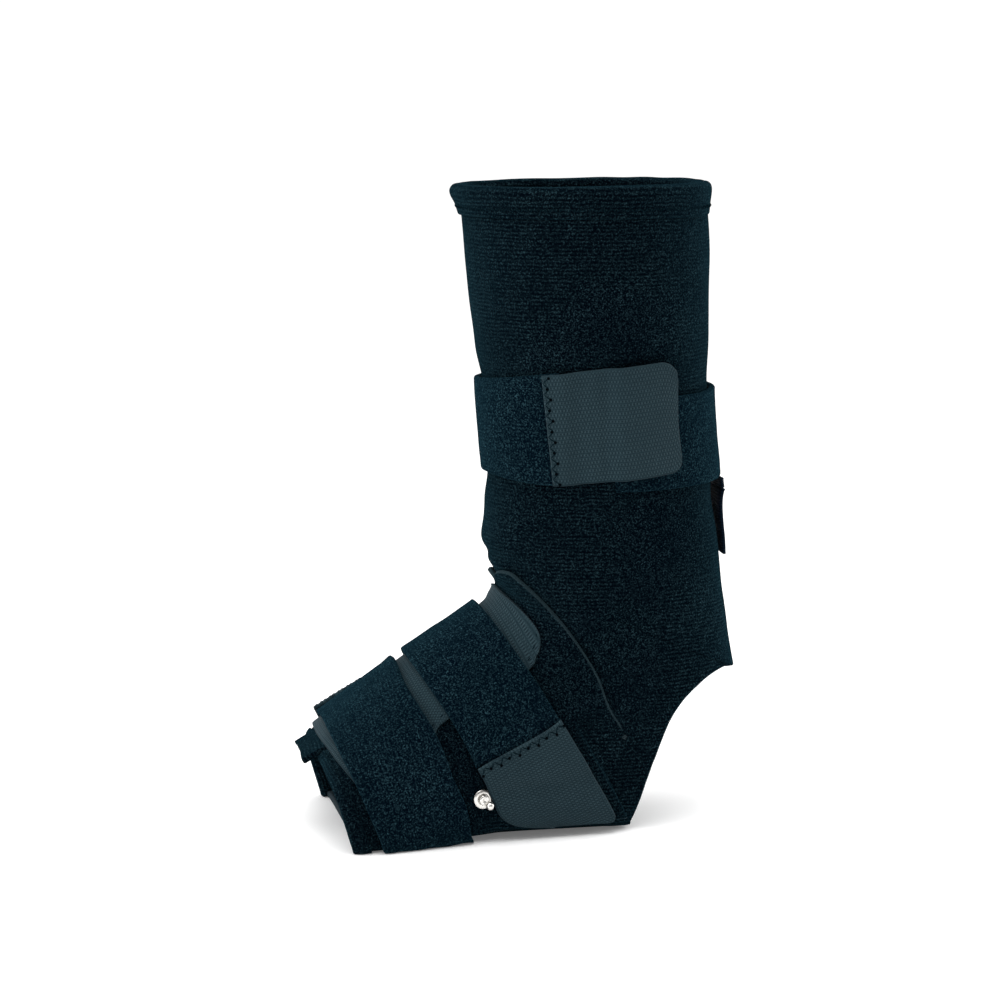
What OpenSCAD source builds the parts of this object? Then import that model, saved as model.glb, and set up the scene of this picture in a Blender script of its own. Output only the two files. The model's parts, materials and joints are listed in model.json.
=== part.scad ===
// Ankle foot orthosis: a soft right-foot ankle brace of loop-faced foam laminate,
// open at the toes and the heel, with two foot straps and a calf strap.
// Toes point to -X, the heel to +X and the inner (medial) side to -Y. The floor is z = 0.

/* [Foot] */
// Outside width across the open toe end
toe_width = 90; // [80:1:100]
// Height of the sleeve at the toe end
toe_height = 33; // [31:1:38]
// Outside width at the instep, in front of the heel
instep_width = 70; // [64:1:76]
// Height of the ankle crease above the floor
crease_height = 99; // [96:1:102]

/* [Shank] */
// Height of the top edge above the floor
brace_height = 262; // [250:1:275]
// Outside width just above the ankle bones
ankle_width = 71; // [66:1:78]
// Outside width at the top edge
calf_width = 93; // [84:1:100]
// Front to back depth at the top edge
calf_depth = 101; // [96:0.5:108]

/* [Fabric] */
// Thickness of the foam laminate
shell_t = 3; // [2:0.5:3]
// Thickness of the instep flaps
flap_t = 2; // [1.5:0.25:2]
// Thickness of the hook panel on the instep
hook_t = 1.2; // [0.8:0.1:1.2]
// Thickness of a strap
strap_t = 2.5; // [1.5:0.25:2.5]
// Thickness of a grey hook tab
tab_t = 1.8; // [1:0.2:1.8]
// Free gap between pieces that lie on each other
gap = 0.3; // [0.2:0.05:0.4]

/* [Ankle] */
// Ankle axis, forward or back of the middle of the sole
ankle_x = 54.5; // [52:0.5:57]
// Ankle axis, height above the floor
ankle_z = 70.5; // [68:0.5:73]
// Radius of the side cheeks round the ankle axis
cheek_r = 30; // [26:1:31]
// How far the shank tips toward the toes, in degrees
dorsiflexion = 8; // [4:1:9]
// How far the shank tips toward the heel, in degrees
plantarflexion = 15; // [5:1:16]

/* [Metal] */
// Diameter of the snap stud's washer
snap_d = 8; // [7.5:0.5:12]

/* [Hidden] */

navy = [0.09, 0.13, 0.16];
dark = [0.05, 0.07, 0.09];
slate = [0.25, 0.31, 0.35];
nickel = [0.80, 0.80, 0.82];
alloy = [0.62, 0.63, 0.65];

// The brace is lofted through rings that lean from level at the calf to upright at the toes.
// A ring: front point x, z; back point x, z; half width; shift to the outer side;
// squareness of the front half; squareness of the back half.
hw_toe = toe_width / 2;
hw_in = instep_width / 2;
hw_an = ankle_width / 2;
hw_top = calf_width / 2;
top_front = -8;
floor_dip = 1.5;
RINGS = [
    [-67, toe_height, -57, -floor_dip, hw_toe, 2, 2.1, 8],
    [-62.5, toe_height + 6, -45, -floor_dip, hw_toe - 0.5, 2, 2.1, 7],
    [-37, toe_height + 26, -4, -floor_dip, hw_toe - 5, 1.5, 2, 4.6],
    [-28.5, toe_height + 33, 10, -floor_dip, hw_in + 3.5, 1, 2, 4.2],
    [2, crease_height - 13, 54, -floor_dip, hw_in + 0.5, 0, 2, 5],
    [8.5, crease_height - 5.5, 64, -floor_dip, hw_in, 0, 2, 4.6],
    [10, crease_height, 102, 8, hw_an + 0.5, 0, 2.1, 2.4],
    [7, crease_height + 6, 112, 36, hw_an + 2, 0, 2.2, 2.2],
    [4, crease_height + 11, 108, 63, hw_an + 1.5, 0, 2.2, 2.2],
    [3, crease_height + 19, 102.4, 100, hw_an, 0, 2.2, 2.2],
    [3.5, 136, 98.8, 136, hw_an + 0.5, 0, 2.2, 2.2],
    [1.5, 168, 96, 168, hw_an + 3, 0, 2.1, 2.1],
    [-0.8, 200, 95.6, 200, hw_top - 5, 0, 2.1, 2.1],
    [-4.4, brace_height - 30, 95, brace_height - 30, hw_top - 2.5, 0, 2.1, 2.1],
    [-6.5, brace_height - 10, 93.5, brace_height - 10, hw_top - 1, 0, 2.1, 2.1],
    [top_front, brace_height, top_front + calf_depth, brace_height, hw_top, 0, 2.1, 2.1]];
LAST = len(RINGS) - 1;

// Ring number u may be a fraction: a Catmull-Rom spline runs through the rings.
function ring_at(i) = i < 0 ? 2 * RINGS[0] - RINGS[1]
    : i > LAST ? 2 * RINGS[LAST] - RINGS[LAST - 1] : RINGS[i];
function ring(u) = let (i = min(max(floor(u), 0), LAST - 1), t = u - i,
    a = ring_at(i - 1), b = ring_at(i), c = ring_at(i + 1), d = ring_at(i + 2))
    0.5 * (2 * b + t * (c - a) + t * t * (2 * a - 5 * b + 4 * c - d)
        + t * t * t * (3 * b - a - 3 * c + d));
function pow_sign(q, e) = sign(q) * pow(abs(q), e);
// A point of the outside at ring u and turn v: 0 is the front, 90 the inner side, 180 the back.
function skin(u, v) = let (r = ring(u), e = 2 / (cos(v) >= 0 ? r[6] : r[7]),
    along = pow_sign(cos(v), e), side = pow_sign(sin(v), e))
    [(r[0] + r[2]) / 2 + (r[0] - r[2]) / 2 * along,
        r[5] - r[4] * side,
        (r[1] + r[3]) / 2 + (r[1] - r[3]) / 2 * along];
function unit(q) = q / norm(q);
function normal(u, v) = unit(cross(skin(u, v + 0.5) - skin(u, v - 0.5),
    skin(u + 0.02, v) - skin(u - 0.02, v)));
// The same point moved out by d; nothing reaches below the floor.
function surf(u, v, d) = let (q = skin(u, v) + d * normal(u, v)) [q[0], q[1], max(q[2], 0)];
function steps(a, b, n) = [for (i = [0:n]) a + (b - a) * i / n];

// A closed ring of fabric between rings ua and ub, from d0 to d1 outside the skin.
module tube(ua, ub, d0, d1, nu, nv = 40) {
    us = steps(ua, ub, nu);
    pts = [for (d = [d0, d1]) for (u = us) for (j = [0:nv - 1]) surf(u, 360 * j / nv, d)];
    layer = (nu + 1) * nv;
    function id(k, i, j) = k * layer + i * nv + j % nv;
    faces = concat(
        [for (i = [0:nu - 1]) for (j = [0:nv - 1])
            each [[id(1, i, j), id(1, i + 1, j), id(1, i + 1, j + 1)],
                [id(1, i, j), id(1, i + 1, j + 1), id(1, i, j + 1)],
                [id(0, i, j), id(0, i + 1, j + 1), id(0, i + 1, j)],
                [id(0, i, j), id(0, i, j + 1), id(0, i + 1, j + 1)]]],
        [for (j = [0:nv - 1])
            each [[id(0, 0, j), id(1, 0, j), id(1, 0, j + 1)],
                [id(0, 0, j), id(1, 0, j + 1), id(0, 0, j + 1)],
                [id(0, nu, j), id(1, nu, j + 1), id(1, nu, j)],
                [id(0, nu, j), id(0, nu, j + 1), id(1, nu, j + 1)]]]);
    polyhedron(pts, faces);
}

// A sheet over the turns listed in vs, from ring ua to ub; trims draws its two edges in.
module sheet(vs, ua, ub, d0, d1, nu = 3, trims = []) {
    nv = len(vs) - 1;
    pts = [for (d = [d0, d1]) for (i = [0:nu]) for (j = [0:nv])
        let (trim = len(trims) > 0 ? trims[j] : 0)
        surf(ua + trim + (ub - ua - 2 * trim) * i / nu, vs[j], d)];
    layer = (nu + 1) * (nv + 1);
    function id(k, i, j) = k * layer + i * (nv + 1) + j;
    faces = concat(
        [for (i = [0:nu - 1]) for (j = [0:nv - 1])
            each [[id(1, i, j), id(1, i + 1, j), id(1, i + 1, j + 1)],
                [id(1, i, j), id(1, i + 1, j + 1), id(1, i, j + 1)],
                [id(0, i, j), id(0, i + 1, j + 1), id(0, i + 1, j)],
                [id(0, i, j), id(0, i, j + 1), id(0, i + 1, j + 1)]]],
        [for (j = [0:nv - 1])
            each [[id(0, 0, j), id(1, 0, j), id(1, 0, j + 1)],
                [id(0, 0, j), id(1, 0, j + 1), id(0, 0, j + 1)],
                [id(0, nu, j), id(1, nu, j + 1), id(1, nu, j)],
                [id(0, nu, j), id(0, nu, j + 1), id(1, nu, j + 1)]]],
        [for (i = [0:nu - 1])
            each [[id(0, i, 0), id(1, i + 1, 0), id(1, i, 0)],
                [id(0, i, 0), id(0, i + 1, 0), id(1, i + 1, 0)],
                [id(0, i, nv), id(1, i, nv), id(1, i + 1, nv)],
                [id(0, i, nv), id(1, i + 1, nv), id(0, i + 1, nv)]]]);
    polyhedron(pts, faces);
}

// Keeps the trimmed cloth as one faceted mesh, at the size it has.
module cloth() {
    resize([0, 0, 0])
        children();
}
// A right prism across the foot, from an outline of x, z points.
module across(outline) {
    rotate([90, 0, 0])
        linear_extrude(height = 160, center = true)
            polygon(outline);
}
module ankle_disc(r) {
    translate([ankle_x, 0, ankle_z])
        rotate([90, 0, 0])
            cylinder(r = r, h = 160, center = true, $fn = 96);
}
// The split between foot and shank opens toward the instep and toward the heel.
function ray(turn, reach = 200) = [ankle_x + reach * cos(turn), ankle_z + reach * sin(turn)];
front_turn = 147;
rear_turn = -12;
foot_front_turn = front_turn + dorsiflexion + 0.8;
foot_rear_turn = rear_turn - plantarflexion - 0.8;
module foot_zone() {
    across([[ankle_x, ankle_z], ray(foot_front_turn), [-150, -20], [160, -20], ray(foot_rear_turn)]);
    ankle_disc(cheek_r);
}
module shank_zone() {
    difference() {
        across([[ankle_x, ankle_z], ray(rear_turn), [255, 320], [-160, 320], ray(front_turn)]);
        ankle_disc(cheek_r + gap + 0.1);
    }
}
// The open heel: everything behind this curve is left out.
HEEL_EDGE = [[57, -5], [57, 0], [60.5, 12], [64.8, 26], [69.3, 37.6], [73.8, 47.9], [79.2, 55],
    [85.5, 60], [92, 63.6], [100, 65.5], [112, 65.5]];
module heel_gap() {
    across(concat(HEEL_EDGE, [[150, 65.5], [150, -5]]));
}
sole_top = 4;

module foot_sleeve() {
    color(navy)
        cloth() difference() {
            intersection() {
                tube(0, 9.5, -shell_t, 0, 20, 44);
                foot_zone();
                across([[-150, sole_top], [160, sole_top], [160, 200], [-150, 200]]);
            }
            heel_gap();
        }
}
module sole() {
    color(dark)
        cloth() difference() {
            intersection() {
                tube(0, 7, -shell_t, 0, 14, 44);
                across([[-150, -5], [160, -5], [160, sole_top], [-150, sole_top]]);
            }
            heel_gap();
        }
}
module insole() {
    color(slate)
        sheet(steps(142, 218, 10), 0.2, 4.8, -shell_t - gap - 1.5, -shell_t - gap, 8);
}

flap_d0 = gap;
flap_d1 = gap + flap_t;
// The flap's free edge runs from the ankle crease down to the arch.
FLAP_EDGE = [[8, 106], [15, 99.5], [21.6, 91.7], [28.4, 83.6], [34.3, 75.1], [39.2, 66], [43, 56.6],
    [47, 48.5], [50.3, 41.9]];
module flap_zone() {
    across(concat(FLAP_EDGE, [[50, 9], [-150, 9], [-150, 106]]));
}
module flap(va, vb) {
    color(navy)
        cloth() intersection() {
            sheet(steps(va, vb, 14), 0.55, 8.5, flap_d0, flap_d1, 18);
            foot_zone();
            flap_zone();
        }
}
module medial_flap() { flap(1, 122); }
module lateral_flap() { flap(-122, -1); }
module toe_binding() {
    color(dark) sheet(steps(-118, 118, 28), 0.02, 0.5, gap, gap + 1.2, 2);
}
lip_t = 2.4;
lip_w = 44;
module toe_lip() {
    color(navy)
        translate([0, 4 + lip_w / 2, 0])
            rotate([90, 0, 0])
                linear_extrude(height = lip_w)
                    offset(r = lip_t / 2)
                        polygon([[-70, toe_height - 2], [-72, toe_height + 0.6], [-75, toe_height + 2.2],
                            [-74.6, toe_height + 2.9], [-71.6, toe_height + 1.4]]);
}

hook_d0 = flap_d1 + gap;
hook_d1 = hook_d0 + hook_t;
module hook_panel() {
    color(slate)
        cloth() intersection() {
            sheet(steps(-62, 62, 14), 0.3, 5.2, hook_d0, hook_d1, 10);
            foot_zone();
        }
}

snap_u = 2.65;
snap_v = 96;
module on_skin(u, v, d) {
    n = normal(u, v);
    translate(surf(u, v, d))
        rotate([0, acos(n[2]), atan2(n[1], n[0])])
            children();
}
module snap_washer() {
    color(nickel)
        on_skin(snap_u, snap_v, flap_d1 + 0.3)
            difference() {
                cylinder(d = snap_d, h = 0.8, $fn = 48);
                translate([0, 0, -1]) cylinder(d = 4.2, h = 3, $fn = 48);
            }
}
module snap_stud() {
    color(nickel)
        on_skin(snap_u, snap_v, flap_d1 + 0.3)
            union() {
                cylinder(d = 4, h = 2, $fn = 48);
                translate([0, 0, 1]) cylinder(d = 6, h = 1.2, $fn = 48);
            }
}
module snap_ball() {
    color(nickel) on_skin(snap_u + 0.2, snap_v + 7, flap_d1 + 3.2) sphere(d = 3.4, $fn = 32);
}

foot_strap_d0 = hook_d1 + 2 * gap;
foot_strap_d1 = foot_strap_d0 + strap_t;
half_slit = 0.45;
// Turns along a tab, with closer steps at its rounded end.
function tab_turns(va, vb, n) = let (end = 0.16 * (vb - va))
    concat(steps(va, vb - end, n), [for (q = [0.3, 0.7, 0.9, 1]) vb - end + end * q]);
function tab_trims(n) = concat([for (i = [0:n]) 0], [0.005, 0.035, 0.075, 0.14]);

forefoot_u = [0.95, 2.03];
midfoot_u = [3.02, 4.05];
module forefoot_strap(va, vb) {
    color(navy)
        sheet(steps(va + sign(vb - va) * half_slit, vb - sign(vb - va) * half_slit, 8),
            forefoot_u[0], forefoot_u[1], foot_strap_d0, foot_strap_d1, 3);
}
module forefoot_strap_root() { forefoot_strap(78, 124); }
module forefoot_strap_1() { forefoot_strap(22, 78); }
module forefoot_strap_2() { forefoot_strap(-40, 22); }
module forefoot_tab() {
    color(slate)
        mirror_sheet(tab_turns(40 + half_slit, 112, 7), tab_trims(7),
            forefoot_u[0], forefoot_u[1], foot_strap_d1 - tab_t, foot_strap_d1);
}
// A tab that runs the other way round: turns are given as positive and taken as negative.
module mirror_sheet(turns, trims, ua, ub, d0, d1) {
    n = len(turns) - 1;
    sheet([for (i = [0:n]) -turns[n - i]], ua, ub, d0, d1, 4, [for (i = [0:n]) trims[n - i]]);
}

module midfoot_strap(va, vb) {
    color(navy)
        sheet(steps(va + half_slit, vb - half_slit, 8),
            midfoot_u[0], midfoot_u[1], foot_strap_d0, foot_strap_d1, 3);
}
module midfoot_strap_root() { midfoot_strap(-124, -72); }
module midfoot_strap_1() { midfoot_strap(-72, -14); }
module midfoot_strap_2() { midfoot_strap(-14, 85); }
module midfoot_tab() {
    color(slate)
        sheet(tab_turns(85 + half_slit, 128, 6), midfoot_u[0], midfoot_u[1],
            foot_strap_d1 - tab_t, foot_strap_d1, 4, tab_trims(6));
}

module shank_sleeve() {
    color(navy)
        cloth() difference() {
            intersection() {
                tube(5.5, LAST, -shell_t, 0, 24, 44);
                shank_zone();
            }
            heel_gap();
        }
}
hem_t = 2.4;
module top_hem() {
    color(navy) tube(13.85, LAST, gap, gap + hem_t, 2, 44);
}

// Each side has a flat stay in a sewn pocket inside the sleeve.
stay_u = [9.2, 11.9];
pocket_d0 = -shell_t - gap - 3.2;
pocket_d1 = -shell_t - gap;
module pocket(mid) {
    color(dark)
        difference() {
            sheet(steps(mid - 14, mid + 14, 4), stay_u[0], stay_u[1], pocket_d0, pocket_d1, 8);
            sheet(steps(mid - 11, mid + 11, 4), stay_u[0] + 0.1, stay_u[1] + 0.5,
                pocket_d0 + 0.8, pocket_d1 - 0.8, 8);
        }
}
module stay(mid) {
    color(alloy)
        sheet(steps(mid - 10, mid + 10, 4), stay_u[0] + 0.15, stay_u[1] - 0.1,
            pocket_d0 + 1, pocket_d1 - 1, 8);
}
module medial_pocket() { pocket(90); }
module lateral_pocket() { pocket(270); }
module medial_stay() { stay(90); }
module lateral_stay() { stay(270); }

calf_u = [10.27, 11.6];
calf_d0 = gap;
calf_d1 = gap + strap_t;
module calf_strap(va, vb) {
    color(navy)
        sheet(steps(va + half_slit, vb - half_slit, 7), calf_u[0], calf_u[1], calf_d0, calf_d1, 4);
}
module calf_strap_root() {
    color(navy)
        sheet(steps(88, 190 - half_slit, 10), calf_u[0] - 0.1, calf_u[1] - 0.2, calf_d0, calf_d1, 4);
}
module calf_strap_1() { calf_strap(190, 245); }
module calf_strap_2() { calf_strap(245, 302); }
module calf_strap_3() { calf_strap(302, 360); }
module calf_strap_4() { calf_strap(360, 420); }
module calf_tab() {
    color(slate)
        sheet(tab_turns(420 + half_slit, 484, 8), calf_u[0] - 0.03, calf_u[1] + 0.12,
            calf_d1 + gap, calf_d1 + gap + tab_t, 5, tab_trims(8));
}

// The pull-on loop hangs from the back of the calf strap's root.
pull_w = 24;
pull_top = 139;
module pull_anchor() {
    color(dark)
        translate([100, 0, pull_top])
            cube([1.6, pull_w, 4], center = true);
}
module pull_tab() {
    color(dark)
        translate([0, pull_w / 2, 0])
            rotate([90, 0, 0])
                linear_extrude(height = pull_w)
                    polygon([[100.4, 136.4], [102, 136.4], [104.2, 124], [104.2, 109.5],
                        [102.6, 109.5], [102.6, 123.6]]);
}

foot_sleeve();
sole();
insole();
medial_flap();
lateral_flap();
toe_binding();
toe_lip();
hook_panel();
snap_washer();
snap_stud();
snap_ball();
forefoot_strap_root();
forefoot_strap_1();
forefoot_strap_2();
forefoot_tab();
midfoot_strap_root();
midfoot_strap_1();
midfoot_strap_2();
midfoot_tab();
shank_sleeve();
top_hem();
medial_pocket();
lateral_pocket();
medial_stay();
lateral_stay();
calf_strap_root();
calf_strap_1();
calf_strap_2();
calf_strap_3();
calf_strap_4();
calf_tab();
pull_anchor();
pull_tab();
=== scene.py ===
"""Looks of the ankle foot orthosis: cloth, hook tape, stitching and metal over the CAD frame.

The cloth follows the same lofted form as part.scad. Lengths in this file are millimetres until
mesh_from() turns them into metres. Toes point to -X, the heel to +X, the inner side to -Y.
"""
import json
import math

import bmesh
import bpy
import numpy as np
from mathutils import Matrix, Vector


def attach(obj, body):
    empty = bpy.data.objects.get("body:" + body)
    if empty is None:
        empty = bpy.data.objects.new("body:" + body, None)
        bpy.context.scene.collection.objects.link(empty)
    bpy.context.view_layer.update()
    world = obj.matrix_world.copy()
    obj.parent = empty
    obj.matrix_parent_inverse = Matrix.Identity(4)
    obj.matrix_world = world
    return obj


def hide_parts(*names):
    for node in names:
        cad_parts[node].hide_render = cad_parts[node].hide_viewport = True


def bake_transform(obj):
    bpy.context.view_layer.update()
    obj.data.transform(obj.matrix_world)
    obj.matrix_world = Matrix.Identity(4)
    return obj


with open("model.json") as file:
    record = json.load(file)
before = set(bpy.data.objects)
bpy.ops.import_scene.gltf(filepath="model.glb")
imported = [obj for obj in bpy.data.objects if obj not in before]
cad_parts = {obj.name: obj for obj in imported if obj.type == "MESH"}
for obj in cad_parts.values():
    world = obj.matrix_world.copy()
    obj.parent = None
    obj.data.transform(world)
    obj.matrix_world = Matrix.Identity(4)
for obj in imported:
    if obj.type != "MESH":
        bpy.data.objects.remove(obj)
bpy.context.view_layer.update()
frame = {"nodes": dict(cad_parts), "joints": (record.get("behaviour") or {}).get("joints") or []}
JOINTS = {joint["name"]: joint for joint in frame["joints"]}
MM = 0.001

# ---------------------------------------------------------------- sizes, as in part.scad
TOE_WIDTH, TOE_HEIGHT, INSTEP_WIDTH, CREASE = 90, 33, 70, 99
BRACE_HEIGHT, ANKLE_WIDTH, CALF_WIDTH, CALF_DEPTH = 262, 71, 93, 101
TOP_FRONT, FLOOR_DIP = -8, 1.5
SHELL_T, FLAP_T, HOOK_T, STRAP_T, TAB_T, GAP = 3, 2, 1.2, 2.5, 1.8, 0.3
FLAP_D = GAP + FLAP_T
HOOK_D = FLAP_D + GAP + HOOK_T
OVER_PANEL = HOOK_D + 0.5
FLOOR_CLEAR = 0.25
ANKLE = np.array(JOINTS["ankle_flex"]["pos_m"]) / MM

TOE_HALF, IN_HALF = TOE_WIDTH / 2, INSTEP_WIDTH / 2
AN_HALF, TOP_HALF = ANKLE_WIDTH / 2, CALF_WIDTH / 2
# The form's rings from the toes to the top edge, one in each row:
# front x, z; back x, z; half width; outward shift; squareness of the front and back halves
RINGS = np.array([
    [-67, TOE_HEIGHT, -57, -FLOOR_DIP, TOE_HALF, 2, 2.1, 8],
    [-62.5, TOE_HEIGHT + 6, -45, -FLOOR_DIP, TOE_HALF - 0.5, 2, 2.1, 7],
    [-37, TOE_HEIGHT + 26, -4, -FLOOR_DIP, TOE_HALF - 5, 1.5, 2, 4.6],
    [-28.5, TOE_HEIGHT + 33, 10, -FLOOR_DIP, IN_HALF + 3.5, 1, 2, 4.2],
    [2, CREASE - 13, 54, -FLOOR_DIP, IN_HALF + 0.5, 0, 2, 5],
    [8.5, CREASE - 5.5, 64, -FLOOR_DIP, IN_HALF, 0, 2, 4.6],
    [10, CREASE, 102, 8, AN_HALF + 0.5, 0, 2.1, 2.4],
    [7, CREASE + 6, 112, 36, AN_HALF + 2, 0, 2.2, 2.2],
    [4, CREASE + 11, 108, 63, AN_HALF + 1.5, 0, 2.2, 2.2],
    [3, CREASE + 19, 102.4, 100, AN_HALF, 0, 2.2, 2.2],
    [3.5, 136, 98.8, 136, AN_HALF + 0.5, 0, 2.2, 2.2],
    [1.5, 168, 96, 168, AN_HALF + 3, 0, 2.1, 2.1],
    [-0.8, 200, 95.6, 200, TOP_HALF - 5, 0, 2.1, 2.1],
    [-4.4, BRACE_HEIGHT - 30, 95, BRACE_HEIGHT - 30, TOP_HALF - 2.5, 0, 2.1, 2.1],
    [-6.5, BRACE_HEIGHT - 10, 93.5, BRACE_HEIGHT - 10, TOP_HALF - 1, 0, 2.1, 2.1],
    [TOP_FRONT, BRACE_HEIGHT, TOP_FRONT + CALF_DEPTH, BRACE_HEIGHT, TOP_HALF, 0, 2.1, 2.1]])
LAST = len(RINGS) - 1


def run_out(p):
    """The points, with one more before and after them, straight on."""
    return np.vstack([2 * p[0] - p[1], p, 2 * p[-1] - p[-2]])


def spline(p, place):
    """The Catmull-Rom spline through run-out points, at fractional point numbers."""
    i = np.clip(np.floor(place).astype(int), 0, len(p) - 4)
    t = (place - i)[..., None]
    a, b, c, d = (p[i + k] for k in range(4))
    return 0.5 * (2 * b + t * (c - a) + t ** 2 * (2 * a - 5 * b + 4 * c - d)
                  + t ** 3 * (3 * b - a - 3 * c + d))


def smooth_line(points, count):
    """A smooth line of count points through given points."""
    p = np.asarray(points, float)
    return spline(run_out(p), np.linspace(0, len(p) - 1, count))


RUN_OUT = run_out(RINGS)


def skin(u, v):
    """A point of the sleeve's outside: turn v is 0 in front, 90 on the inner side, 180 behind."""
    r = spline(RUN_OUT, np.asarray(u, float))
    turn = np.radians(v)
    power = 2 / np.where(np.cos(turn) >= -1e-12, r[..., 6], r[..., 7])
    along = np.sign(np.cos(turn)) * np.abs(np.cos(turn)) ** power
    side = np.sign(np.sin(turn)) * np.abs(np.sin(turn)) ** power
    middle, reach = (r[..., 0:2] + r[..., 2:4]) / 2, (r[..., 0:2] - r[..., 2:4]) / 2
    return np.stack([middle[..., 0] + reach[..., 0] * along,
                     r[..., 5] - r[..., 4] * side,
                     middle[..., 1] + reach[..., 1] * along], -1)


def unit(q):
    return q / (np.linalg.norm(q, axis=-1, keepdims=True) + 1e-12)


def outward(u, v):
    """The sleeve's outward normal."""
    across = skin(u, v + 0.5) - skin(u, v - 0.5)
    return unit(np.cross(across, skin(u + 0.02, v) - skin(u - 0.02, v)))


def lifted(u, v, d):
    """A point d outside the sleeve, never below the floor."""
    u, v, d = np.broadcast_arrays(*(np.asarray(q, float) for q in (u, v, d)))
    p = skin(u, v) + d[..., None] * outward(u, v)
    p[..., 2] = np.maximum(p[..., 2], FLOOR_CLEAR)
    return p


def ease(x, low, high):
    """0 below low, 1 above high, smooth between; low may be the larger."""
    t = np.clip((np.asarray(x, float) - low) / (high - low), 0, 1)
    return t * t * (3 - 2 * t)


def ripple(p, size, seed):
    """Smooth, repeatable unevenness of about -1 to 1, with waves about size long."""
    random = np.random.default_rng(seed)
    total = np.zeros(p.shape[:-1])
    for scale, weight in ((1, 0.6), (0.55, 0.3), (0.3, 0.15)):
        for _ in range(3):
            way = random.normal(size=3)
            way *= 2 * math.pi / (size * scale) / np.linalg.norm(way)
            total += weight * np.sin(p @ way + random.uniform(0, 6.28)) / 1.7
    return total


def through(points, count=400):
    """A function that follows a smooth line through given (place, value) points."""
    line = smooth_line(points, count)
    return lambda x: np.interp(x, line[:, 0], line[:, 1])


# ---------------------------------------------------------------- meshes
# Edges bent more than SHARP are shaded sharp. A cloth's rim is rounded through RIM_ANGLES, with a
# radius of MOST_RIM at most.
SHARP = math.radians(58)
RIM_ANGLES = (50, 0, -50)
MOST_RIM = 0.9


def show(name, data):
    """A new object in the scene."""
    obj = bpy.data.objects.new(name, data)
    bpy.context.scene.collection.objects.link(obj)
    return obj


def circle(middle, radius, side, other, count):
    """Points on a circle, in the plane of two unit directions."""
    turns = [2 * math.pi * k / count for k in range(count)]
    return [middle + radius * (side * math.cos(t) + other * math.sin(t)) for t in turns]


def stack_faces(base, sides, rings, caps):
    """Faces between stacked circles of points, and the faces that cap some of the circles."""
    faces = []
    for low in range(base, base + (rings - 1) * sides, sides):
        for k in range(sides):
            after = (k + 1) % sides
            faces.append([low + k, low + after, low + sides + after, low + sides + k])
    return faces + [[base + cap * sides + k for k in range(sides)] for cap in caps]


def mesh_from(name, points, faces, materials, face_material=None, corner_uv=None):
    """A shown mesh object from points in millimetres."""
    mesh = bpy.data.meshes.new(name)
    mesh.from_pydata((np.asarray(points) * MM).tolist(), [], faces)
    for material in materials:
        mesh.materials.append(material)
    if face_material is not None:
        mesh.polygons.foreach_set("material_index", face_material)
    if corner_uv is not None:
        layer = mesh.uv_layers.new(name="cloth")
        layer.data.foreach_set("uv", (np.asarray(corner_uv) * MM).ravel())
    mesh.polygons.foreach_set("use_smooth", [True] * len(mesh.polygons))
    bm = bmesh.new()
    bm.from_mesh(mesh)
    bmesh.ops.recalc_face_normals(bm, faces=bm.faces)
    bmesh.ops.delete(bm, geom=[v for v in bm.verts if not v.link_faces], context="VERTS")
    for edge in bm.edges:
        edge.smooth = len(edge.link_faces) != 2 or edge.calc_face_angle(0) < SHARP
    bm.to_mesh(mesh)
    bm.free()
    return show(name, mesh)


def sheet_normals(centre, axis):
    """Normals of a grid of points, turned to point along axis on the whole."""
    n = unit(np.cross(np.gradient(centre, axis=0), np.gradient(centre, axis=1)))
    return n * np.sign(n[..., axis].mean())


def cloth_uv(centre):
    """Lengths along the cloth: first round the ring from its middle column, then up the rows."""
    n, m = centre.shape[:2]
    step = np.linalg.norm(np.diff(centre, axis=1), axis=2)
    along = np.concatenate([np.zeros((n, 1)), np.cumsum(step, 1)], 1)
    along -= along[:, m // 2:m // 2 + 1]
    rise = np.linalg.norm(np.diff(centre[:, m // 2], axis=0), axis=1)
    up = np.concatenate([[0], np.cumsum(rise)])
    return np.stack([along, np.broadcast_to(up[:, None], (n, m))], -1)


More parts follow.
